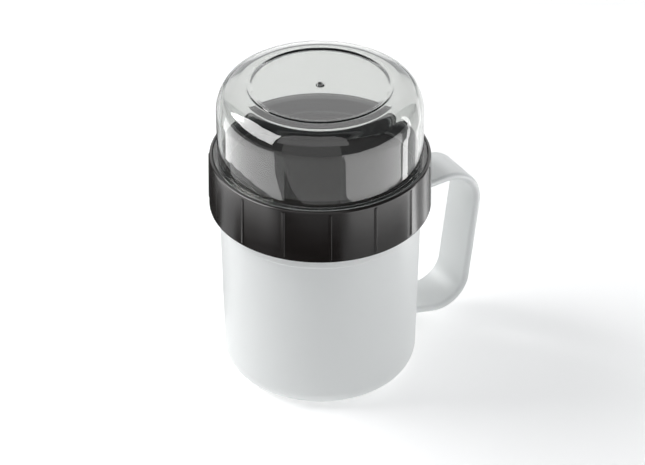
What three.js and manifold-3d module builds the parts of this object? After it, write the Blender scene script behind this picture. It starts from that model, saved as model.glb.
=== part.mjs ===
// A two-compartment mug to go: an insulated mug with a strap handle, a screw collar with a floor,
// and a clear cup that stands upside down in the collar.
// Millimetres, +Z up. The origin is the centre of the mug's underside; the handle points along +X.
import * as THREE from "three";
import { mergeVertices } from "three/addons/utils/BufferGeometryUtils.js";
import Module from "manifold-3d";

const wasm = await Module();
wasm.setup();

// ---- driving dimensions ----
const SEGMENTS = 40; // facets round every turned piece
const GAP = 0.3; // clearance between pieces that rest on each other

// mug shell
const SHELL_HEIGHT = 88.3;
const SHELL_RADIUS_FOOT = 46.5; // outer radius just above the foot's rounding
const SHELL_RADIUS_TOP = 47.7;
const SHELL_WALL = 2.0;
const FOOT_ROUNDING = 9;
const BAND_HEIGHT = 82.5; // the slightly proud band round the shell's top starts here
const BAND_PROUD = 0.3;
const SHOULDER_ROUNDING = 1.6;

// base plate
const BASE_RADIUS = 37;
const BASE_THICKNESS = 2.2;
const BASE_GROOVE = { inner: 26, outer: 31, depth: 0.8 };

// liner, the inner cup with the threaded neck
const LINER_FLOOR = 6.8; // underside of its floor
const LINER_WALL = 1.8;
const LINER_RADIUS_FLOOR = 39.0; // inner radius at the floor
const LINER_RADIUS_TOP = 40.6; // inner radius where the neck starts to flare
const NECK_RADIUS = 46.4; // outer radius at the thread's root
const NECK_BORE = 43.6;
const RIM_HEIGHT = 103.8;

// collar
const COLLAR_BOTTOM = 89.2;
const COLLAR_TOP = 116.4;
const COLLAR_RADIUS = 51.95; // at its top
const COLLAR_FLARE = 0.55; // wider by this at its foot
const COLLAR_BORE = 49.2;
const COLLAR_ROUNDING = 1.5;
const FLOOR_TOP = 107.4;
const FLOOR_THICKNESS = 1.8;
const LEDGE_DEPTH = 1.2; // the seat that the cup's flange drops into
const LEDGE_RADIUS = 50.45;
const PLUG = { inner: 41.0, outer: 42.6, depth: 4.0 }; // ring that enters the mug's mouth
// Grip ribs are lopsided, with a long gentle side and a short steep one.
const RIB = { count: 15, first: 5.4, gentle: 1.3, steep: 0.6, height: 0.5, end: 1.3 };

// clear cup
const CUP_HEIGHT = 153.4;
const CUP_RADIUS = 48.2;
const SHOULDER = { inward: 10.5, down: 14 }; // half axes of the elliptical rounding round its closed end
const CUP_WALL = 2.1;
const CUP_FLANGE = { radius: 50.1, thickness: 1.05 };
const CUP_NECK_RADIUS = 46.9;
const CUP_NECK_BORE = 44.9;
const CUP_RIM = 109.2;
const WINDOW = { radius: 31.3, depth: 0.9, thickness: 2.4 };
const FOOT_RING = { inner: 32.5, outer: 33.6, height: 0.6 }; // the cup stands on it when turned over
const GATE = { radius: 1.7, height: 0.35 }; // moulding gate, a small round pip

// seals
const SEAL_THICKNESS = 1.1;
const SEAL_RADIUS = 46.9; // clears the ridges that it goes past
const CUP_SEAL_BORE = 44.6;

// Screw threads, both right-handed with three starts. The outer crest is the male ridge's and the inner
// crest the female's; the female ridge runs half a pitch from the male one, on the side that holds.
const MUG_THREAD = { starts: 3, lead: 12, width: 1.5, taper: 0.45, sweep: 144, outer: 48.3, inner: 47.1 };
const CUP_THREAD = { starts: 3, lead: 9, width: 1.1, taper: 0.3, sweep: 99, outer: 48.5, inner: 47.5 };
const MUG_THREAD_HEIGHT = { male: 97.2, female: 95.2 }; // the middle of each ridge
const CUP_THREAD_HEIGHT = { male: 111.4, female: 112.9 };
const THREAD_STEP = 9; // degrees between sections
const THREAD_FADE = 12; // degrees over which a ridge's end rises to full height

// handle: the strap's centre line as corner points (distance from the axis, height)
const HANDLE = { width: 24.1, thickness: 4, edge: 1.2 };
const HANDLE_CORNERS = [
  { x: 43, z: 85.6, round: 0 },
  { x: 84.5, z: 87.7, round: 17.2 },
  { x: 75.2, z: 8, round: 15.4 },
  { x: 43, z: 15.4, round: 0 },
];

// ---- colours and finishes ----
const finish = (color, roughness, options = {}) =>
  new THREE.MeshStandardMaterial({ color, roughness, metalness: 0, ...options });
const whitePlastic = finish(0xe9ecec, 0.42);
const smokePlastic = finish(0x242324, 0.2);
const clearPlastic = finish(0xd9dedb, 0.05, { transparent: true, opacity: 0.35 });
const silicone = finish(0x3b3a3a, 0.6);

// ---- helpers ----
const radians = THREE.MathUtils.degToRad;
const point = (r, z) => new THREE.Vector2(r, z);

// Points along an arc in the profile plane, from one angle to another in degrees. A second half axis
// makes it elliptical.
function arc(centre, across, from, to, steps, upward = across) {
  return Array.from({ length: steps + 1 }, (_, i) => {
    const a = radians(from + ((to - from) * i) / steps);
    return point(centre.x + across * Math.cos(a), centre.y + upward * Math.sin(a));
  });
}

// A turned piece from its profile of (radius, height) points, listed anticlockwise.
function turned(profile) {
  return new THREE.LatheGeometry(profile, SEGMENTS).rotateX(Math.PI / 2);
}

function toSolid(geometry) {
  const bare = geometry.clone();
  bare.deleteAttribute("normal");
  bare.deleteAttribute("uv");
  const merged = mergeVertices(bare, 1e-4);
  return new wasm.Manifold(
    new wasm.Mesh({
      numProp: 3,
      vertProperties: merged.attributes.position.array,
      triVerts: new Uint32Array(merged.index.array),
    }),
  );
}

function toGeometry(solid) {
  const mesh = solid.getMesh();
  const geometry = new THREE.BufferGeometry();
  geometry.setAttribute("position", new THREE.BufferAttribute(mesh.vertProperties, 3));
  geometry.setIndex(new THREE.BufferAttribute(mesh.triVerts, 1));
  geometry.computeVertexNormals();
  return geometry;
}

const joined = (base, pieces) =>
  toGeometry(pieces.reduce((solid, piece) => solid.add(toSolid(piece)), toSolid(base)));

const part = new THREE.Group();
function add(name, geometry, material) {
  const mesh = new THREE.Mesh(geometry, material);
  mesh.name = name;
  part.add(mesh);
}

// One thread ridge: a trapezium from the wall to its crest, swept round the axis with its middle at
// height z. Its ends fade into the wall.
function threadRidge({ lead, width, taper, sweep }, wallRadius, crestRadius, start, z) {
  const root = wallRadius + Math.sign(wallRadius - crestRadius) * 0.4; // sunk into the wall
  const section = new THREE.Shape([
    point(root, -width / 2),
    point(crestRadius, -width / 2 + taper),
    point(crestRadius, width / 2 - taper),
    point(root, width / 2),
  ]);
  const steps = Math.round(sweep / THREAD_STEP);
  const ridge = new THREE.ExtrudeGeometry(section, { depth: sweep, steps, bevelEnabled: false });
  const place = ridge.attributes.position;
  for (let i = 0; i < place.count; i++) {
    const turn = sweep - place.getZ(i); // counted backwards, which keeps the faces pointing out
    const height = Math.min(1, turn / THREAD_FADE, (sweep - turn) / THREAD_FADE);
    const radius = root + (place.getX(i) - root) * (0.25 + 0.75 * height);
    const angle = radians(start + turn);
    const rise = place.getY(i) * (0.6 + 0.4 * height) + (lead * (turn - sweep / 2)) / 360;
    place.setXYZ(i, radius * Math.cos(angle), radius * Math.sin(angle), z + rise);
  }
  return ridge;
}

function thread(spec, wallRadius, crestRadius, z) {
  return Array.from({ length: spec.starts }, (_, i) =>
    threadRidge(spec, wallRadius, crestRadius, (360 / spec.starts) * i, z),
  );
}

// ---- mug: shell, base plate, liner, handle ----
function shell() {
  const foot = point(SHELL_RADIUS_FOOT - FOOT_ROUNDING, FOOT_ROUNDING);
  const band = SHELL_RADIUS_TOP + BAND_PROUD;
  const shoulder = point(band - SHOULDER_ROUNDING, SHELL_HEIGHT - SHOULDER_ROUNDING);
  const opening = BASE_RADIUS + GAP;
  const profile = [
    point(opening, 0),
    ...arc(foot, FOOT_ROUNDING, -90, 0, 7),
    point(SHELL_RADIUS_TOP, BAND_HEIGHT),
    point(band, BAND_HEIGHT + 0.4),
    ...arc(shoulder, SHOULDER_ROUNDING, 0, 70, 3),
    point(NECK_RADIUS - 1.2, SHELL_HEIGHT),
    point(SHELL_RADIUS_TOP - SHELL_WALL, SHELL_HEIGHT - 0.6),
    ...arc(foot, FOOT_ROUNDING - SHELL_WALL, 0, -75, 5),
    point(opening, BASE_THICKNESS + 0.2),
  ];
  return turned([...profile, profile[0]]);
}

function basePlate() {
  const locator = { inner: 33.4, outer: 35, top: 5.2 };
  return turned([
    point(0, 0),
    point(BASE_GROOVE.inner, 0),
    point(BASE_GROOVE.inner + 0.6, BASE_GROOVE.depth),
    point(BASE_GROOVE.outer - 0.6, BASE_GROOVE.depth),
    point(BASE_GROOVE.outer, 0),
    point(BASE_RADIUS, 0),
    point(BASE_RADIUS, BASE_THICKNESS),
    point(locator.outer, BASE_THICKNESS),
    point(locator.outer, locator.top),
    point(locator.inner, locator.top),
    point(locator.inner, BASE_THICKNESS),
    point(0, BASE_THICKNESS),
  ]);
}

function liner() {
  const corner = 4; // rounding between floor and wall, inside
  const inner = point(LINER_RADIUS_FLOOR - corner, LINER_FLOOR + LINER_WALL + corner);
  const flare = 82;
  const body = turned([
    point(0, LINER_FLOOR),
    point(inner.x + 1, LINER_FLOOR),
    ...arc(inner, corner + LINER_WALL, -60, 0, 3),
    point(LINER_RADIUS_TOP + LINER_WALL, flare),
    point(LINER_RADIUS_TOP + LINER_WALL + 0.6, SHELL_HEIGHT + GAP),
    point(NECK_RADIUS, SHELL_HEIGHT + GAP),
    point(NECK_RADIUS, RIM_HEIGHT - 0.5),
    point(NECK_RADIUS - 0.5, RIM_HEIGHT),
    point(NECK_BORE + 0.4, RIM_HEIGHT),
    point(NECK_BORE, RIM_HEIGHT - 0.4),
    point(NECK_BORE - 0.1, SHELL_HEIGHT + 3),
    point(LINER_RADIUS_TOP, flare),
    ...arc(inner, corner, 0, -90, 3),
    point(0, LINER_FLOOR + LINER_WALL),
  ]);
  return joined(body, thread(MUG_THREAD, NECK_RADIUS, MUG_THREAD.outer, MUG_THREAD_HEIGHT.male));
}

// The strap's side outline: its centre line, rounded at the corners and offset to each side.
function strapOutline(corners, thickness) {
  const centre = [];
  corners.forEach(({ x, z, round }, i) => {
    const here = point(x, z);
    if (!round) {
      centre.push(here);
      return;
    }
    const back = point(corners[i - 1].x, corners[i - 1].z).sub(here).normalize();
    const on = point(corners[i + 1].x, corners[i + 1].z).sub(here).normalize();
    const half = back.angleTo(on) / 2;
    const middle = back.clone().add(on).normalize().multiplyScalar(round / Math.sin(half)).add(here);
    const first = here.clone().addScaledVector(back, round / Math.tan(half)).sub(middle).angle();
    const turn = -(Math.PI - 2 * half); // both corners turn clockwise
    const from = THREE.MathUtils.radToDeg(first);
    centre.push(...arc(middle, round, from, from + THREE.MathUtils.radToDeg(turn), 8));
  });
  const side = (distance) =>
    centre.map((p, i) => {
      const before = centre[Math.max(i - 1, 0)];
      const after = centre[Math.min(i + 1, centre.length - 1)];
      const along = after.clone().sub(before).normalize();
      return point(p.x - along.y * distance, p.y + along.x * distance);
    });
  return [...side(thickness / 2), ...side(-thickness / 2).reverse()];
}

function handle() {
  const { width, thickness, edge } = HANDLE;
  const outline = new THREE.Shape(strapOutline(HANDLE_CORNERS, thickness - 2 * edge));
  const strap = new THREE.ExtrudeGeometry(outline, {
    depth: width - 2 * edge,
    bevelThickness: edge,
    bevelSize: edge,
    bevelSegments: 2,
  });
  strap.translate(0, 0, -(width - 2 * edge) / 2).rotateX(Math.PI / 2);
  const wall = turned([
    point(0, -1),
    point(SHELL_RADIUS_FOOT + GAP, -1),
    point(SHELL_RADIUS_FOOT + GAP, FOOT_ROUNDING),
    point(SHELL_RADIUS_TOP + GAP, BAND_HEIGHT - 2),
    point(SHELL_RADIUS_TOP + BAND_PROUD + GAP, BAND_HEIGHT - 1),
    point(SHELL_RADIUS_TOP + BAND_PROUD + GAP, COLLAR_BOTTOM),
    point(0, COLLAR_BOTTOM),
  ]);
  return toGeometry(toSolid(strap).subtract(toSolid(wall)));
}

// ---- collar and its seal ----
function collar() {
  const under = FLOOR_TOP - FLOOR_THICKNESS;
  const rounding = point(COLLAR_RADIUS - COLLAR_ROUNDING, COLLAR_TOP - COLLAR_ROUNDING);
  const body = turned([
    point(0, under),
    point(PLUG.inner, under),
    point(PLUG.inner, under - PLUG.depth),
    point(PLUG.outer - 0.4, under - PLUG.depth),
    point(PLUG.outer, under),
    point(COLLAR_BORE, under),
    point(COLLAR_BORE, COLLAR_BOTTOM + 0.6),
    point(COLLAR_BORE + 0.5, COLLAR_BOTTOM),
    point(COLLAR_RADIUS + COLLAR_FLARE - 0.5, COLLAR_BOTTOM),
    point(COLLAR_RADIUS + COLLAR_FLARE, COLLAR_BOTTOM + 0.5),
    ...arc(rounding, COLLAR_ROUNDING, 0, 80, 3),
    point(LEDGE_RADIUS, COLLAR_TOP),
    point(LEDGE_RADIUS, COLLAR_TOP - LEDGE_DEPTH),
    point(COLLAR_BORE, COLLAR_TOP - LEDGE_DEPTH),
    point(COLLAR_BORE, FLOOR_TOP),
    point(GATE.radius, FLOOR_TOP),
    point(GATE.radius * 0.8, FLOOR_TOP + GATE.height),
    point(0, FLOOR_TOP + GATE.height),
  ]);
  const ribs = Array.from({ length: RIB.count }, (_, i) => {
    const inside = COLLAR_RADIUS - 0.6;
    const section = new THREE.Shape([
      point(inside, -RIB.gentle - 0.8),
      point(COLLAR_RADIUS + RIB.height, -0.15),
      point(COLLAR_RADIUS + RIB.height, 0.15),
      point(inside, RIB.steep + 0.4),
    ]);
    const depth = COLLAR_TOP - COLLAR_BOTTOM - COLLAR_ROUNDING - RIB.end;
    const rib = new THREE.ExtrudeGeometry(section, { depth, bevelEnabled: false });
    const place = rib.attributes.position;
    for (let j = 0; j < place.count; j++) {
      const down = COLLAR_TOP - COLLAR_BOTTOM - RIB.end - place.getZ(j); // below the collar's top
      place.setX(j, place.getX(j) + (COLLAR_FLARE * down) / (COLLAR_TOP - COLLAR_BOTTOM));
    }
    return rib
      .translate(0, 0, COLLAR_BOTTOM + RIB.end)
      .rotateZ(radians(RIB.first + (360 / RIB.count) * i));
  });
  return joined(body, [
    ...ribs,
    ...thread(MUG_THREAD, COLLAR_BORE, MUG_THREAD.inner, MUG_THREAD_HEIGHT.female),
    ...thread(CUP_THREAD, COLLAR_BORE, CUP_THREAD.inner, CUP_THREAD_HEIGHT.female),
  ]);
}

function flatRing(inner, outer, bottom) {
  const top = bottom + SEAL_THICKNESS;
  const bulge = SEAL_THICKNESS / 4;
  const profile = [
    point(inner + bulge, bottom),
    point(outer - bulge, bottom),
    point(outer, bottom + SEAL_THICKNESS / 2),
    point(outer - bulge, top),
    point(inner + bulge, top),
    point(inner, bottom + SEAL_THICKNESS / 2),
  ];
  return turned([...profile, profile[0]]);
}

// ---- clear cup ----
function cup() {
  const flangeBottom = COLLAR_TOP - LEDGE_DEPTH + GAP;
  const flangeTop = flangeBottom + CUP_FLANGE.thickness;
  const shoulder = point(CUP_RADIUS - SHOULDER.inward, CUP_HEIGHT - SHOULDER.down);
  const windowTop = CUP_HEIGHT - WINDOW.depth;
  const inward = SHOULDER.inward - CUP_WALL;
  const down = SHOULDER.down - WINDOW.depth - WINDOW.thickness;
  const body = turned([
    point(0, windowTop - WINDOW.thickness),
    ...arc(shoulder, inward, 90, 0, 6, down),
    point(CUP_RADIUS - CUP_WALL, flangeTop),
    point(CUP_NECK_BORE, flangeBottom - 1.5),
    point(CUP_NECK_BORE, CUP_RIM),
    point(CUP_NECK_RADIUS, CUP_RIM),
    point(CUP_NECK_RADIUS, flangeBottom),
    point(CUP_FLANGE.radius, flangeBottom),
    point(CUP_FLANGE.radius, flangeTop),
    point(CUP_RADIUS, flangeTop),
    ...arc(shoulder, SHOULDER.inward, 0, 90, 7, SHOULDER.down - FOOT_RING.height),
    point(FOOT_RING.outer + 0.7, CUP_HEIGHT - FOOT_RING.height),
    point(FOOT_RING.outer, CUP_HEIGHT),
    point(FOOT_RING.inner, CUP_HEIGHT),
    point(WINDOW.radius, windowTop),
    point(GATE.radius, windowTop),
    point(GATE.radius * 0.8, windowTop + GATE.height),
    point(0, windowTop + GATE.height),
  ]);
  return joined(body, thread(CUP_THREAD, CUP_NECK_RADIUS, CUP_THREAD.outer, CUP_THREAD_HEIGHT.male));
}

add("mug_shell", shell(), whitePlastic);
add("base_plate", basePlate(), whitePlastic);
add("mug_liner", liner(), whitePlastic);
add("handle", handle(), whitePlastic);
add("mug_seal", flatRing(PLUG.outer + GAP, SEAL_RADIUS, RIM_HEIGHT + GAP), silicone);
add("screw_collar", collar(), smokePlastic);
add("cup_seal", flatRing(CUP_SEAL_BORE, SEAL_RADIUS, FLOOR_TOP + GAP), silicone);
add("clear_cup", cup(), clearPlastic);

export default part;
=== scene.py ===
import bpy, bmesh, math
from mathutils import Matrix, Vector


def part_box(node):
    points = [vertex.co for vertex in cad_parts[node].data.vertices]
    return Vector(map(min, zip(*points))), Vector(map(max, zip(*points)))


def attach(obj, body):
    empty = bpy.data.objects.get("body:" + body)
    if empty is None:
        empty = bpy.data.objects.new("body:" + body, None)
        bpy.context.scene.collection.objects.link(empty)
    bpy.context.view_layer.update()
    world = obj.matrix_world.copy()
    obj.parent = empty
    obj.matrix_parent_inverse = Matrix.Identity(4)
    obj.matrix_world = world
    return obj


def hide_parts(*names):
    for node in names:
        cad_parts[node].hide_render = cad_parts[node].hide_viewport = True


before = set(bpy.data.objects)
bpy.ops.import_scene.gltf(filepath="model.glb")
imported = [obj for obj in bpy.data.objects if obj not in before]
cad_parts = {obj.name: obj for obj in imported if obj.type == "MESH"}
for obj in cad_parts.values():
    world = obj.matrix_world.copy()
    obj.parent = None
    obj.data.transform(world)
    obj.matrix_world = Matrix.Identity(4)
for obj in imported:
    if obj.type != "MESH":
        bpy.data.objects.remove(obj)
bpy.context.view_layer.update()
mm = 0.001


def sizeOf(node):  # a turned node's foot, top and radius, in millimetres
    low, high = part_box(node)
    return low.z / mm, high.z / mm, high.y / mm


# Shader nodes, written as expressions


class Wire:
    def __init__(self, sheet, socket):
        self.sheet, self.socket = sheet, socket

    def __add__(self, other):
        return self.sheet.maths("ADD", self, other)

    def __sub__(self, other):
        return self.sheet.maths("SUBTRACT", self, other)

    def __rsub__(self, other):
        return self.sheet.maths("SUBTRACT", other, self)

    def __mul__(self, other):
        return self.sheet.maths("MULTIPLY", self, other)

    __radd__, __rmul__ = __add__, __mul__


class Sheet:
    def __init__(self, owner):
        owner.use_nodes = True
        self.tree = owner.node_tree
        self.tree.nodes.clear()

    def node(self, kind, settings, sockets, out=0):
        made = self.tree.nodes.new(kind)
        for name, value in settings.items():
            setattr(made, name, value)
        for name, value in sockets.items():
            if isinstance(value, Wire):
                self.tree.links.new(value.socket, made.inputs[name])
            else:
                made.inputs[name].default_value = value
        return Wire(self, made.outputs[out]) if len(made.outputs) else made

    def maths(self, operation, first, second):
        return self.node("ShaderNodeMath", {"operation": operation}, {0: first, 1: second})

    def place(self):
        return self.node("ShaderNodeTexCoord", {}, {}, "Object")

    def noise(self, scale, detail=2.0, stretch=(1, 1, 1)):
        where = self.node("ShaderNodeMapping", {}, {"Vector": self.place(), "Scale": stretch})
        return self.node("ShaderNodeTexNoise", {}, {"Vector": where, "Scale": scale, "Detail": detail}, "Fac")

    def blend(self, amount, first, second):  # the sockets numbered here are the node's colours
        return self.node("ShaderNodeMix", {"data_type": "RGBA"}, {"Factor": amount, 6: first, 7: second}, 2)

    def bump(self, height, depth, strength=1.0):
        return self.node("ShaderNodeBump", {}, {"Height": height, "Distance": depth, "Strength": strength})

    def principled(self, sockets):
        return self.node("ShaderNodeBsdfPrincipled", {}, sockets)

    def finish(self, shader):
        self.node("ShaderNodeOutputMaterial", {}, {"Surface": shader})


def newMaterial(name):
    material = bpy.data.materials.new(name)
    return material, Sheet(material)


# Satin white moulded plastic: a fine even texture, with handling marks that show only in the gloss
satinWhite = {
    "colour": (0.83, 0.845, 0.84, 1),
    "shade": (0.79, 0.805, 0.8, 1),
    "clouds": 18,
    "grain": 1500,
    "grainDepth": 0.00002,
    "roughness": 0.36,
    "handling": 0.08,
    "ior": 1.49,
}


def makeSatinWhite():
    material, sheet = newMaterial("satin_white_plastic")
    clouds = sheet.noise(satinWhite["clouds"], 3)
    grain = sheet.noise(satinWhite["grain"], 2)
    shader = sheet.principled(
        {
            "Base Color": sheet.blend(clouds, satinWhite["colour"], satinWhite["shade"]),
            "Roughness": satinWhite["roughness"] + satinWhite["handling"] * clouds,
            "IOR": satinWhite["ior"],
            "Normal": sheet.bump(grain, satinWhite["grainDepth"], 0.5),
        }
    )
    sheet.finish(shader)
    return material


# Smoke plastic so dark that it shows black, glossy but not a mirror
smokeBlack = {
    "colour": (0.0065, 0.0048, 0.0044, 1),
    "warm": (0.0105, 0.0078, 0.0068, 1),
    "clouds": 25,
    "flow": 40,
    "flowStretch": (1, 1, 6),
    "grain": 900,
    "grainDepth": 0.00002,
    "roughness": 0.17,
    "streaks": 0.08,
    "ior": 1.37,
}


def makeSmokeBlack():
    material, sheet = newMaterial("smoke_black_plastic")
    clouds = sheet.noise(smokeBlack["clouds"], 3)
    flow = sheet.noise(smokeBlack["flow"], 3, smokeBlack["flowStretch"])
    grain = sheet.noise(smokeBlack["grain"], 2)
    shader = sheet.principled(
        {
            "Base Color": sheet.blend(clouds, smokeBlack["colour"], smokeBlack["warm"]),
            "Roughness": smokeBlack["roughness"] + smokeBlack["streaks"] * flow,
            "IOR": smokeBlack["ior"],
            "Normal": sheet.bump(grain, smokeBlack["grainDepth"], 0.35),
        }
    )
    sheet.finish(shader)
    return material


# Clear plastic with a trace of smoke; lamps reach through it
clearSmoke = {
    "colour": (0.775, 0.785, 0.77, 1),
    "lampTint": (0.83, 0.84, 0.83, 1),
    "roughness": 0.012,
    "smears": 140,
    "smearing": 0.015,
    "waves": 55,
    "waveDepth": 0.00003,
    "ior": 1.49,
}


def makeClearSmoke():
    material, sheet = newMaterial("clear_smoke_plastic")
    waves = sheet.noise(clearSmoke["waves"], 1)
    smears = sheet.noise(clearSmoke["smears"], 3)
    shader = sheet.principled(
        {
            "Base Color": clearSmoke["colour"],
            "Roughness": clearSmoke["roughness"] + clearSmoke["smearing"] * smears,
            "IOR": clearSmoke["ior"],
            "Transmission Weight": 1.0,
            "Normal": sheet.bump(waves, clearSmoke["waveDepth"], 0.4),
        }
    )
    lampGlass = sheet.node("ShaderNodeBsdfTransparent", {}, {"Color": clearSmoke["lampTint"]})
    fromLamp = sheet.node("ShaderNodeLightPath", {}, {}, "Is Shadow Ray")
    sheet.finish(sheet.node("ShaderNodeMixShader", {}, {0: fromLamp, 1: shader, 2: lampGlass}))
    return material


# Dark silicone, matte
sealRubber = {
    "colour": (0.012, 0.011, 0.011, 1),
    "dust": (0.02, 0.019, 0.019, 1),
    "grain": 300,
    "grainDepth": 0.00003,
    "roughness": 0.5,
    "dusting": 0.15,
}


def makeSealRubber():
    material, sheet = newMaterial("seal_silicone")
    dust = sheet.noise(sealRubber["grain"], 3)
    shader = sheet.principled(
        {
            "Base Color": sheet.blend(dust, sealRubber["colour"], sealRubber["dust"]),
            "Roughness": sealRubber["roughness"] + sealRubber["dusting"] * dust,
            "Specular IOR Level": 0.4,
            "Normal": sheet.bump(dust, sealRubber["grainDepth"], 0.4),
        }
    )
    sheet.finish(shader)
    return material


print("materials")
white = makeSatinWhite()
smoke = makeSmokeBlack()
clear = makeClearSmoke()
silicone = makeSealRubber()


# Shared steps of modelling


def wholeOf(bm):
    return bm.verts[:] + bm.edges[:] + bm.faces[:]


def spin(bm, geometry, angle, steps, **more):  # round the object's axis
    bmesh.ops.spin(
        bm, geom=geometry, cent=(0, 0, 0), axis=(0, 0, 1), angle=angle, steps=steps, **more
    )


def repeat(bm, count):  # evenly round the axis
    spin(bm, wholeOf(bm), math.tau * (count - 1) / count, count - 1, use_duplicate=True)


def weld(bm):
    bmesh.ops.remove_doubles(bm, verts=bm.verts, dist=0.002 * mm)
    bmesh.ops.recalc_face_normals(bm, faces=bm.faces)


def roundOff(bm, verts, reach):
    bmesh.ops.bevel(
        bm,
        geom=verts,
        affect="VERTICES",
        offset=reach * mm,
        segments=max(3, round(3 * reach)),
        profile=0.5,
        material=-1,
    )


def turned(corners, closed=True):  # corners are (radius, height, reach of the rounding)
    bm = bmesh.new()
    verts = [bm.verts.new((radius * mm, 0, height * mm)) for radius, height, _ in corners]
    pairs = list(zip(verts, verts[1:]))
    if closed:
        pairs.append((verts[-1], verts[0]))
    for pair in pairs:
        bm.edges.new(pair)
    for vert, (_, _, reach) in zip(verts, corners):
        if reach:
            roundOff(bm, [vert], reach)
    spin(bm, bm.verts[:] + bm.edges[:], math.tau, 160, use_merge=True)
    weld(bm)
    return bm


def meshOf(name, bm):
    mesh = bpy.data.meshes.new(name)
    bm.to_mesh(mesh)
    bm.free()
    return mesh


def show(name, data):
    thing = bpy.data.objects.new(name, data)
    bpy.context.scene.collection.objects.link(thing)
    return thing


def join(bm, other):  # other's shapes go into bm
    carrier = meshOf("carrier", other)
    bm.from_mesh(carrier)
    bpy.data.meshes.remove(carrier)


def keep(bm, name, material, body, node):
    mesh = meshOf(name, bm)
    mesh.shade_smooth()
    mesh.set_sharp_from_angle(angle=math.radians(42))
    mesh.materials.append(material)
    piece = show(name, mesh)
    even = piece.modifiers.new("evenNormals", "WEIGHTED_NORMAL")  # keeps flats flat beside roundings
    even.keep_sharp = True
    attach(piece, body)
    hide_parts(node)
    return piece


# Screw ridges. A ridge's section climbs a helix, and its ends sink back into the wall.
mugThread = {"lead": 12, "width": 1.5, "lip": 0.6, "sweep": 144, "fade": 14}
cupThread = {"lead": 9, "width": 1.1, "lip": 0.5, "sweep": 99, "fade": 12}


def ridges(thread, wall, crest, height):  # wall and crest are radii, height is that of the middle
    bm = bmesh.new()
    root = wall + math.copysign(0.35, wall - crest)
    foot, lip = thread["width"] / 2, thread["lip"] / 2
    low = height - thread["lead"] * thread["sweep"] / 720
    section = [(root, -foot), (crest, -lip), (crest, lip), (root, foot)]
    verts = [bm.verts.new((radius * mm, 0, (low + up) * mm)) for radius, up in section]
    bm.faces.new(verts)
    roundOff(bm, verts[1:3], 0.15)
    steps = thread["sweep"] // 3  # one for every three degrees
    climb = (0, 0, thread["lead"] / 120 * mm)
    spin(bm, bm.faces[:], math.radians(steps * 3), steps, dvec=climb)
    for vert in bm.verts:
        along = math.degrees(math.atan2(vert.co.y, vert.co.x)) % 360
        along = min(along, thread["sweep"] - along) if along < 359 else 0
        sink = (1 - min(1, along / thread["fade"])) * 0.85
        out = Vector((vert.co.x, vert.co.y, 0))
        vert.co -= out.normalized() * (out.length - root * mm) * sink
    repeat(bm, 3)
    bmesh.ops.recalc_face_normals(bm, faces=bm.faces)
    return bm


print("mug shell and base plate")
shell = {
    "wall": 2,
    "taper": 1.2,
    "bandHeight": 5.6,
    "bandProud": 0.3,
    "shoulder": 1.5,
    "foot": 8.9,
    "footInside": 6.8,
    "floor": 2.2,
    "plateGap": 0.25,
}
shellLow, shellTop, shellRadius = sizeOf("mug_shell")
plateLow, plateTop, plateRadius = sizeOf("base_plate")


def makeShell():
    wallTop = shellRadius - shell["bandProud"]
    wallFoot = wallTop - shell["taper"]
    bandLow = shellTop - shell["bandHeight"]
    floor = shellLow + shell["floor"]
    opening = plateRadius + shell["plateGap"]
    corners = [
        (opening, floor, 0.2),
        (opening, shellLow, 0.25),
        (wallFoot, shellLow, shell["foot"]),
        (wallTop, bandLow, 0.12),
        (shellRadius, bandLow + 0.35, 0.12),
        (shellRadius, shellTop, shell["shoulder"]),
        (wallTop - 1.6, shellTop, 0.2),
        (wallTop - shell["wall"], shellTop - 0.8, 0.2),
        (wallFoot - shell["wall"], floor, shell["footInside"]),
    ]
    return keep(turned(corners), "mugShell", white, "mug", "mug_shell")


plate = {
    "thickness": 2.2,
    "groove": 0.8,
    "grooveIn": 26,
    "grooveOut": 31,
    "grooveSlope": 0.6,
    "ringIn": 33.4,
    "ringOut": 35,
    "gate": 0.5,
}


def makePlate():
    floor = plateLow + plate["thickness"]
    groove = plateLow + plate["groove"]
    gate = plateLow + plate["gate"]
    slope = plate["grooveSlope"]
    corners = [
        (0, gate, 0),
        (1.6, gate, 0.1),
        (2, plateLow, 0.15),
        (plate["grooveIn"], plateLow, 0.25),
        (plate["grooveIn"] + slope, groove, 0.25),
        (plate["grooveOut"] - slope, groove, 0.25),
        (plate["grooveOut"], plateLow, 0.25),
        (plateRadius, plateLow, 0.35),
        (plateRadius, floor, 0.3),
        (plate["ringOut"], floor, 0.2),
        (plate["ringOut"], plateTop, 0.3),
        (plate["ringIn"], plateTop, 0.3),
        (plate["ringIn"], floor, 0.2),
        (0, floor, 0),
    ]
    return keep(turned(corners, closed=False), "basePlate", white, "mug", "base_plate")


makeShell()
makePlate()

print("mug liner")
liner = {
    "wall": 1.8,
    "floor": 1.8,
    "gate": 0.3,
    "bottom": 39,
    "throat": 40.6,
    "neck": 46.4,
    "mouth": 43.6,
    "flareDrop": 6.3,
    "seatGap": 0.3,
}
linerLow, linerTop, _ = sizeOf("mug_liner")


def makeLiner():
    seat = shellTop + liner["seatGap"]
    flare = shellTop - liner["flareDrop"]
    floor = linerLow + liner["floor"]
    gate = floor - liner["gate"]
    outside = liner["throat"] + liner["wall"]
    corners = [
        (0, linerLow, 0),
        (liner["bottom"] + liner["wall"], linerLow, 5),
        (outside, flare, 2),
        (outside + 0.6, seat, 0.2),
        (liner["neck"], seat, 0.3),
        (liner["neck"], linerTop, 0.6),
        (liner["mouth"], linerTop, 0.5),
        (liner["mouth"] - 0.1, seat + 2.7, 1.5),
        (liner["throat"], flare, 2.5),
        (liner["bottom"], floor, 4),
        (1.7, floor, 0.1),
        (1.4, gate, 0.1),
        (0, gate, 0),
    ]
    bm = turned(corners, closed=False)
    join(bm, ridges(mugThread, liner["neck"], 48.25, shellTop + 8.9))
    return keep(bm, "mugLiner", white, "mug", "mug_liner")


makeLiner()

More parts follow.
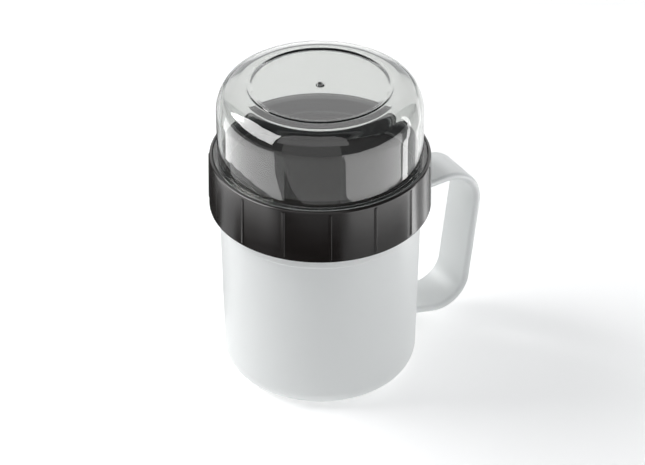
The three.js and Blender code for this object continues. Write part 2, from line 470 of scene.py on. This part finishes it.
print("handle")
strap = {
    "thickness": 4,
    "edge": 1.85,
    "corners": [(46.2, 85.73, 0), (84.38, 87.7, 17.2), (75.2, 8, 15.4), (45, 14.96, 0)],  # x, z, bend
    "bendSteps": 18,
}


def pull(bm, face, end):  # extrudes a face until its middle is at end
    made = bmesh.ops.extrude_face_region(bm, geom=[face])["geom"]
    moved = [item for item in made if isinstance(item, bmesh.types.BMVert)]
    bmesh.ops.translate(bm, verts=moved, vec=end - face.calc_center_bounds())
    return next(item for item in made if isinstance(item, bmesh.types.BMFace))


def bend(bm, face, centre, angle):
    steps = strap["bendSteps"]
    made = bmesh.ops.spin(bm, geom=[face], cent=centre, axis=(0, 1, 0), angle=angle, steps=steps)
    return next(item for item in made["geom_last"] if isinstance(item, bmesh.types.BMFace))


def makeHandle():
    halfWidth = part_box("handle")[1].y
    route = [Vector((x * mm, 0, z * mm)) for x, z, _ in strap["corners"]]
    facing = (route[1] - route[0]).to_track_quat("Z", "Y").to_matrix().to_4x4()
    size = Matrix.Diagonal((halfWidth, strap["thickness"] / 2 * mm, 1, 1))
    start = Matrix.Translation(route[0]) @ facing @ size
    bm = bmesh.new()
    bmesh.ops.create_grid(bm, x_segments=1, y_segments=1, size=1, matrix=start)
    roundOff(bm, bm.verts[:], strap["edge"])
    bm.faces.ensure_lookup_table()
    face = bm.faces[0]
    for before, here, after, (_, _, radius) in zip(route, route[1:], route[2:], strap["corners"][1:]):
        back, on = (before - here).normalized(), (after - here).normalized()
        half = back.angle(on) / 2
        face = pull(bm, face, here + back * radius * mm / math.tan(half))
        centre = here + (back + on).normalized() * radius * mm / math.sin(half)
        face = bend(bm, face, centre, math.pi - 2 * half)
    pull(bm, face, route[-1])
    weld(bm)
    return keep(bm, "handleStrap", white, "mug", "handle")


makeHandle()

print("screw collar")
collar = {
    "bore": 49.2,
    "floorThickness": 1.8,
    "ledge": 1.2,
    "ledgeRadius": 50.45,
    "plug": (41, 42.6, 4),  # inner and outer radius, depth
    "rim": 1.1,
    "flare": 0.55,  # how much wider its foot is than its top
}
rib = {  # lopsided, with a long gentle side and a short steep one
    "count": 15,
    "first": 5.4,
    "proud": 0.4,
    "gentle": 1.3,
    "steep": 0.5,
    "crest": 0.15,
    "root": -0.4,
    "clearFoot": 1.3,
    "clearTop": 1.5,
}
collarLow, collarTop, collarRadius = sizeOf("screw_collar")
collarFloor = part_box("cup_seal")[0].z / mm - 0.3


def makeRibs():
    low, high = collarLow + rib["clearFoot"], collarTop - rib["clearTop"]
    gentle, steep, crest = rib["gentle"], rib["steep"], rib["crest"]
    section = [(rib["root"], -gentle - 1), (0, -gentle), (rib["proud"], -crest)]
    section += [(rib["proud"], crest), (0, steep), (rib["root"], steep + 0.3)]
    bm = bmesh.new()
    verts = [bm.verts.new(Vector((collarRadius + out, along, low)) * mm) for out, along in section]
    bm.faces.new(verts)
    roundOff(bm, verts[2:4], 0.12)
    foot = bm.faces[:][0]
    top = pull(bm, foot, foot.calc_center_bounds() + Vector((0, 0, (high - low) * mm)))
    for end, slant in ((top, -0.8), (foot, 0.8)):
        outer = [vert for vert in end.verts if vert.co.x > (collarRadius + 0.05) * mm]
        bmesh.ops.translate(bm, verts=outer, vec=(0, 0, rib["proud"] * mm * slant))
    for vert in bm.verts:
        vert.co.x -= collar["flare"] * mm * (vert.co.z / mm - collarLow) / (collarTop - collarLow)
    turn = Matrix.Rotation(math.radians(rib["first"]), 3, "Z")
    bmesh.ops.rotate(bm, verts=bm.verts, cent=(0, 0, 0), matrix=turn)
    repeat(bm, rib["count"])
    bmesh.ops.recalc_face_normals(bm, faces=bm.faces)
    return bm


def makeCollar():
    under = collarFloor - collar["floorThickness"]
    plugIn, plugOut, plugDeep = collar["plug"]
    ledge = collarTop - collar["ledge"]
    corners = [
        (0, under, 0),
        (plugIn, under, 0.2),
        (plugIn, under - plugDeep, 0.3),
        (plugOut - 0.4, under - plugDeep, 0.5),
        (plugOut, under, 0.2),
        (collar["bore"], under, 0.4),
        (collar["bore"], collarLow + 0.6, 0.15),
        (collar["bore"] + 0.5, collarLow, 0.2),
        (collarRadius, collarLow, 0.55),
        (collarRadius - collar["flare"], collarTop, collar["rim"]),
        (collar["ledgeRadius"], collarTop, 0.25),
        (collar["ledgeRadius"], ledge, 0.15),
        (collar["bore"], ledge, 0.15),
        (collar["bore"], collarFloor, 0.8),
        (2.3, collarFloor, 0.15),
        (2, collarFloor - 0.5, 0.15),
        (1.3, collarFloor - 0.5, 0.15),
        (1.1, collarFloor + 0.4, 0.2),
        (0, collarFloor + 0.4, 0),
    ]
    bm = turned(corners, closed=False)
    join(bm, makeRibs())
    join(bm, ridges(mugThread, collar["bore"], 47.15, collarLow + 6))
    join(bm, ridges(cupThread, collar["bore"], 47.55, collarTop - 3.5))
    return keep(bm, "screwCollar", smoke, "collar", "screw_collar")


makeCollar()

print("seals")
sealRounding = 0.45


def makeSeal(name, node, body):
    foot, top, outer = sizeOf(node)
    inner = min(vert.co.xy.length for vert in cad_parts[node].data.vertices) / mm
    ends = [(inner, foot), (outer, foot), (outer, top), (inner, top)]
    corners = [(radius, height, sealRounding) for radius, height in ends]
    return keep(turned(corners), name, silicone, body, node)


makeSeal("mugSeal", "mug_seal", "lower_seal")
makeSeal("cupSeal", "cup_seal", "upper_seal")

print("clear cup")
cup = {
    "wall": 2.1,
    "radius": 48.2,
    "flange": 1.05,
    "flangeLow": 115.5,
    "neck": 46.9,
    "neckBore": 44.9,
    "window": 31.3,
    "ring": 33.7,
    "recess": 0.9,
    "windowThickness": 2.4,
    "ringHeight": 0.6,
    "slopeSide": 5.1,
    "slopeTop": 4.3,
}
cupLow, cupTop, cupFlange = sizeOf("clear_cup")


def makeCup():
    windowTop = cupTop - cup["recess"]
    windowLow = windowTop - cup["windowThickness"]
    flangeTop = cup["flangeLow"] + cup["flange"]
    inner = cup["radius"] - cup["wall"]
    ringFoot = cupTop - cup["ringHeight"]
    corners = [
        (0, windowLow, 0),
        (41.3, windowLow, 3.7),
        (inner, cupTop - 9.8, 4.6),
        (inner, flangeTop, 0.8),
        (cup["neckBore"], cup["flangeLow"] - 1.5, 0.8),
        (cup["neckBore"], cupLow, 0.4),
        (cup["neck"], cupLow, 0.4),
        (cup["neck"], cup["flangeLow"], 0.25),
        (cupFlange, cup["flangeLow"], 0.25),
        (cupFlange, flangeTop, 0.2),
        (cup["radius"], flangeTop, 0.3),
        (cup["radius"], cupTop - 8.2, cup["slopeSide"]),
        (cup["radius"] - 6.15, cupTop - 0.2, cup["slopeTop"]),
        (cup["radius"] - 10.5, ringFoot, 0.4),
        (cup["ring"] + 0.7, ringFoot, 0.4),
        (cup["ring"] - 0.1, cupTop, 0.3),
        (cup["window"] + 1.2, cupTop, 0.3),
        (cup["window"], windowTop, 0.5),
        (2.1, windowTop, 0.1),
        (1.8, cupTop - 0.1, 0.2),
        (1.1, cupTop - 0.1, 0.2),
        (0.8, windowTop - 0.2, 0.15),
        (0, windowTop - 0.2, 0),
    ]
    piece = keep(turned(corners, closed=False), "clearCup", clear, "cup", "clear_cup")
    threads = ridges(cupThread, cup["neck"], 48.45, cup["flangeLow"] - 4.1)
    screw = show("cupScrew", meshOf("cupScrew", threads))
    even = piece.modifiers[0]
    even.show_viewport = False
    fuse = piece.modifiers.new("fuse", "BOOLEAN")
    fuse.operation, fuse.solver, fuse.object = "UNION", "EXACT", screw
    fused = piece.evaluated_get(bpy.context.evaluated_depsgraph_get())
    piece.data = bpy.data.meshes.new_from_object(fused)
    piece.modifiers.remove(fuse)
    even.show_viewport = True
    bpy.data.objects.remove(screw)
    return piece


makeCup()

print("floor, lights and camera")
view = {  # angles in degrees, distance in metres, the rest in millimetres
    "azimuth": -30,
    "elevation": 34.05,
    "distance": 1.2,
    "pivot": 74,
    "aim": 70.5,
    "aside": 1.07,
    "lens": 140.4,
}
away = Vector((math.sin(math.radians(-view["azimuth"])), math.cos(math.radians(view["azimuth"])), 0))
aside = Vector((away.y, -away.x, 0))


def spot(right, back, up):  # a place seen from the camera's side, in metres
    return aside * right + away * back + Vector((0, 0, up))


def look(thing, start, end):
    thing.location = start
    thing.rotation_euler = (end - start).to_track_quat("-Z", "Y").to_euler()


def makeCamera():
    lens = bpy.data.cameras.new("camera")
    lens.lens = view["lens"]
    lens.clip_start, lens.clip_end = 0.05, 30
    camera = show("camera", lens)
    lift = math.radians(view["elevation"])
    start = Vector((0, 0, view["pivot"] * mm)) - away * view["distance"] * math.cos(lift)
    start.z += view["distance"] * math.sin(lift)
    look(camera, start, aside * view["aside"] * mm + Vector((0, 0, view["aim"] * mm)))
    bpy.context.scene.camera = camera


def panel(name, place, size, power):
    light = bpy.data.lights.new(name, "AREA")
    light.shape = "RECTANGLE"
    light.size, light.size_y = size
    light.energy = power
    lamp = show(name, light)
    look(lamp, place, Vector((0, 0, 0.08)))
    lamp.visible_camera = lamp.visible_transmission = lamp.visible_glossy = False


def makeFloor():
    bm = bmesh.new()
    bmesh.ops.create_circle(bm, cap_ends=True, cap_tris=False, segments=96, radius=6)
    floor = show("floor", meshOf("floor", bm))
    material, sheet = newMaterial("pale_floor")
    shader = sheet.principled(
        {
            "Base Color": (0.86, 0.86, 0.86, 1),
            "Roughness": 0.9,
            "Specular IOR Level": 0,
            "Emission Color": (1, 1, 1, 1),
            "Emission Strength": 0.38,
        }
    )
    sheet.finish(shader)
    floor.data.materials.append(material)


# Cards round the object, seen only by the gloss on it


def upright(left, right, back, low, high):
    return [(left, back, low), (right, back, low), (right, back, high), (left, back, high)]


cards = {  # strength, then corners as (right, back, up) from the object's foot
    "frontFlag": (0, upright(-0.105, 0.051, -0.15, 0, 0.047)),
    "frontShade": (1, upright(-0.105, 0.051, -0.15, 0.047, 0.2)),
    "frontGlow": (2, [(-0.14, -0.15, 0.2), (0.08, -0.15, 0.2), (0.12, -0.15, 0.8), (-0.2, -0.15, 0.8)]),
    "backGlow": (2.1, upright(-1.6, 1.6, 1.5, 0.25, 2.4)),
    "leftSoftbox": (14, [(-0.8, -0.67, 0.3), (-0.8, 0.37, 0.3), (-0.8, 0.37, 1.15), (-0.8, -0.67, 1.15)]),
    "stripLight": (7, [(0.79, 0.18, 0), (0.77, 0.25, 0), (0.77, 0.25, 0.5), (0.79, 0.18, 0.5)]),
    "farLight": (2.4, [(0.62, 0.5, 0), (0.53, 0.6, 0), (0.53, 0.6, 0.6), (0.62, 0.5, 0.6)]),
}
floorCards = {  # strength, then corners as (bearing from the camera's side in degrees, distance)
    "backShade": (
        0.03,
        [(-108, 0.06), (-108, 0.22), (-119, 0.24), (-125, 1)]
        + [(-150, 1), (-179, 1), (-179, 0.06), (-145, 0.06)],
    ),
    "leftShade": (
        0.06,
        [(-86, 0.13), (-86, 0.218), (-62, 0.218), (-36, 0.218), (-36, 0.13), (-62, 0.13)],
    ),
    "leftGlow": (
        4.6,
        [(-36, 0.22), (-46.5, 0.25), (-47.5, 1.05), (-80, 1.05), (-119, 1.05), (-119, 0.22)]
        + [(-105, 0.226), (-90, 0.228), (-75, 0.228), (-60, 0.226), (-48, 0.224)],
    ),
    "rightGlow": (
        4.4,
        [(26, 0.23), (22, 3), (55, 3), (92, 3), (92, 0.22), (75, 0.22), (58, 0.22), (42, 0.22)],
    ),
    "stripGlow": (7, [(90, 0.15), (102, 0.15), (106, 0.8), (101, 0.8)]),
    "farGlow": (2.4, [(116, 0.15), (125, 0.15), (136, 0.8), (127, 0.8)]),
}
floorCardStep = 0.0005  # each lies this much above the one before


def card(name, strength, corners):
    bm = bmesh.new()
    bm.faces.new([bm.verts.new(spot(*corner)) for corner in corners])
    piece = show(name, meshOf(name, bm))
    material, sheet = newMaterial(name)
    sheet.finish(sheet.node("ShaderNodeEmission", {}, {"Strength": strength}))
    piece.data.materials.append(material)
    piece.visible_camera = piece.visible_diffuse = False
    piece.visible_transmission = piece.visible_shadow = False


def makeCards():
    for name, (strength, corners) in cards.items():
        card(name, strength, corners)
    for layer, (name, (strength, corners)) in enumerate(floorCards.items(), 1):
        bearings = [(math.radians(bearing), far) for bearing, far in corners]
        up = layer * floorCardStep
        card(name, strength, [(far * math.sin(b), -far * math.cos(b), up) for b, far in bearings])


def makeWorld():
    world = bpy.data.worlds.new("studio")
    bpy.context.scene.world = world
    sheet = Sheet(world)
    seen = sheet.node("ShaderNodeLightPath", {}, {}, "Is Camera Ray")
    dim = sheet.node("ShaderNodeBackground", {}, {"Color": (0.92, 0.96, 1, 1), "Strength": 0.22})
    pale = sheet.node("ShaderNodeBackground", {}, {"Color": (1, 1, 1, 1), "Strength": 1.15})
    mixed = sheet.node("ShaderNodeMixShader", {}, {0: seen, 1: dim, 2: pale})
    sheet.node("ShaderNodeOutputWorld", {}, {"Surface": mixed})


makeCamera()
makeFloor()
makeCards()
makeWorld()
panel("key", spot(0.85, 0.2, 0.8), (0.6, 0.6), 2.4)
panel("leftPanel", spot(-0.75, 0.15, 0.72), (0.6, 0.6), 7.5)
panel("rightPanel", spot(0.85, 0.1, 0.3), (0.35, 0.5), 0.9)
panel("backdrop", spot(0, 1.6, 0.7), (3.2, 1.4), 3.4)
panel("frontFill", spot(0, -1.6, 0.7), (1, 0.6), 0.8)
bpy.context.scene.view_settings.view_transform = "Standard"
